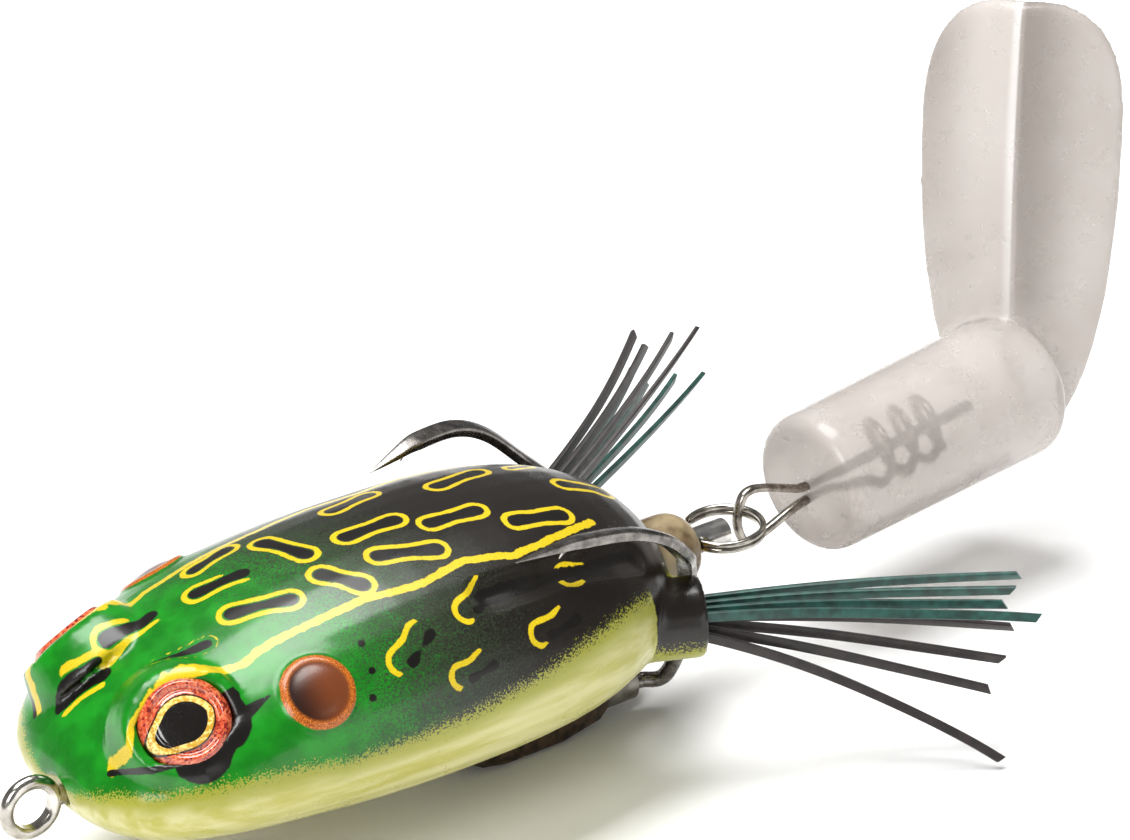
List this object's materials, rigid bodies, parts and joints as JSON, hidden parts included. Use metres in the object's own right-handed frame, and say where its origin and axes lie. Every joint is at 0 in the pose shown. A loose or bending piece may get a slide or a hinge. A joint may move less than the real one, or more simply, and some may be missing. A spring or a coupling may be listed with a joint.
{
  "type": "topwater frog lure",
  "caption": "Hollow soft frog lure with a double hook and belly keel, rubber strand legs and a swivelling translucent paddle tail on a split ring.",
  "frame": {"origin": "centre of the line eye's bore at the nose", "axes": "+X from nose to tail, +Z towards the back of the frog, -Y towards its left side; the line eye's bore runs along Y"},
  "size_m": [0.1194, 0.0584, 0.0519],
  "materials": {
    "body_shell": "soft hollow PVC, airbrushed green to brown-black with yellow lines and a pale belly, clear gloss coat",
    "eye": "orange glitter eye under a clear dome",
    "shank": "nickel-plated forged steel wire",
    "hook": "black nickel finish, forged flat sides",
    "braze": "black nickel finish over a brazed sleeve",
    "keel": "cast weight, dark brown metallic paint",
    "carrier": "pressed stainless strip",
    "bushing": "turned brass",
    "post": "turned stainless steel, bright",
    "ring": "nickel-plated spring wire",
    "screw_wire": "nickel-plated stainless wire",
    "paddle": "translucent milky soft plastic",
    "collar": "black rubber",
    "strand_green": "flat dark green silicone-rubber strands",
    "strand_black": "flat brown-black silicone-rubber strands"
  },
  "bodies": {
    "lure": {"body_shell": "body_shell", "eye_left": "eye", "eye_right": "eye", "hook_shank": "shank", "hook_left": "hook", "hook_right": "hook", "shank_sleeve": "braze", "belly_weight": "keel", "swivel_carrier": "carrier", "tail_bushing": "bushing", "skirt_collar_left": "collar", "skirt_collar_right": "collar", "skirt_left_green": "strand_green", "skirt_left_black": "strand_black", "skirt_right_green": "strand_green", "skirt_right_black": "strand_black"},
    "swivel": {"swivel_post": "post", "swivel_head": "post"},
    "ring": {"split_ring": "ring"},
    "tail": {"tail_screw": "screw_wire", "tail_paddle": "paddle"}
  },
  "joints": [
    {"name": "tail_spin", "type": "hinge", "parent": "lure", "child": "swivel", "pos_m": [0.0663, 0, 0.0022], "axis": [1, 0, 0], "continuous": true, "deforming": ["skirt_left_green", "skirt_left_black", "skirt_right_green", "skirt_right_black"]},
    {"name": "ring_swing", "type": "hinge", "parent": "swivel", "child": "ring", "pos_m": [0.0672, 0, 0.0022], "axis": [0, 1, 0], "range_deg": [-32, 38], "deforming": ["skirt_left_green", "skirt_left_black", "skirt_right_green", "skirt_right_black"]},
    {"name": "tail_swing", "type": "hinge", "parent": "ring", "child": "tail", "pos_m": [0.07052, 0, 0.0024], "axis": [-0.061, 0, 0.9981], "range_deg": [-40, 40], "deforming": ["skirt_left_green", "skirt_left_black", "skirt_right_green", "skirt_right_black"]}
  ]
}
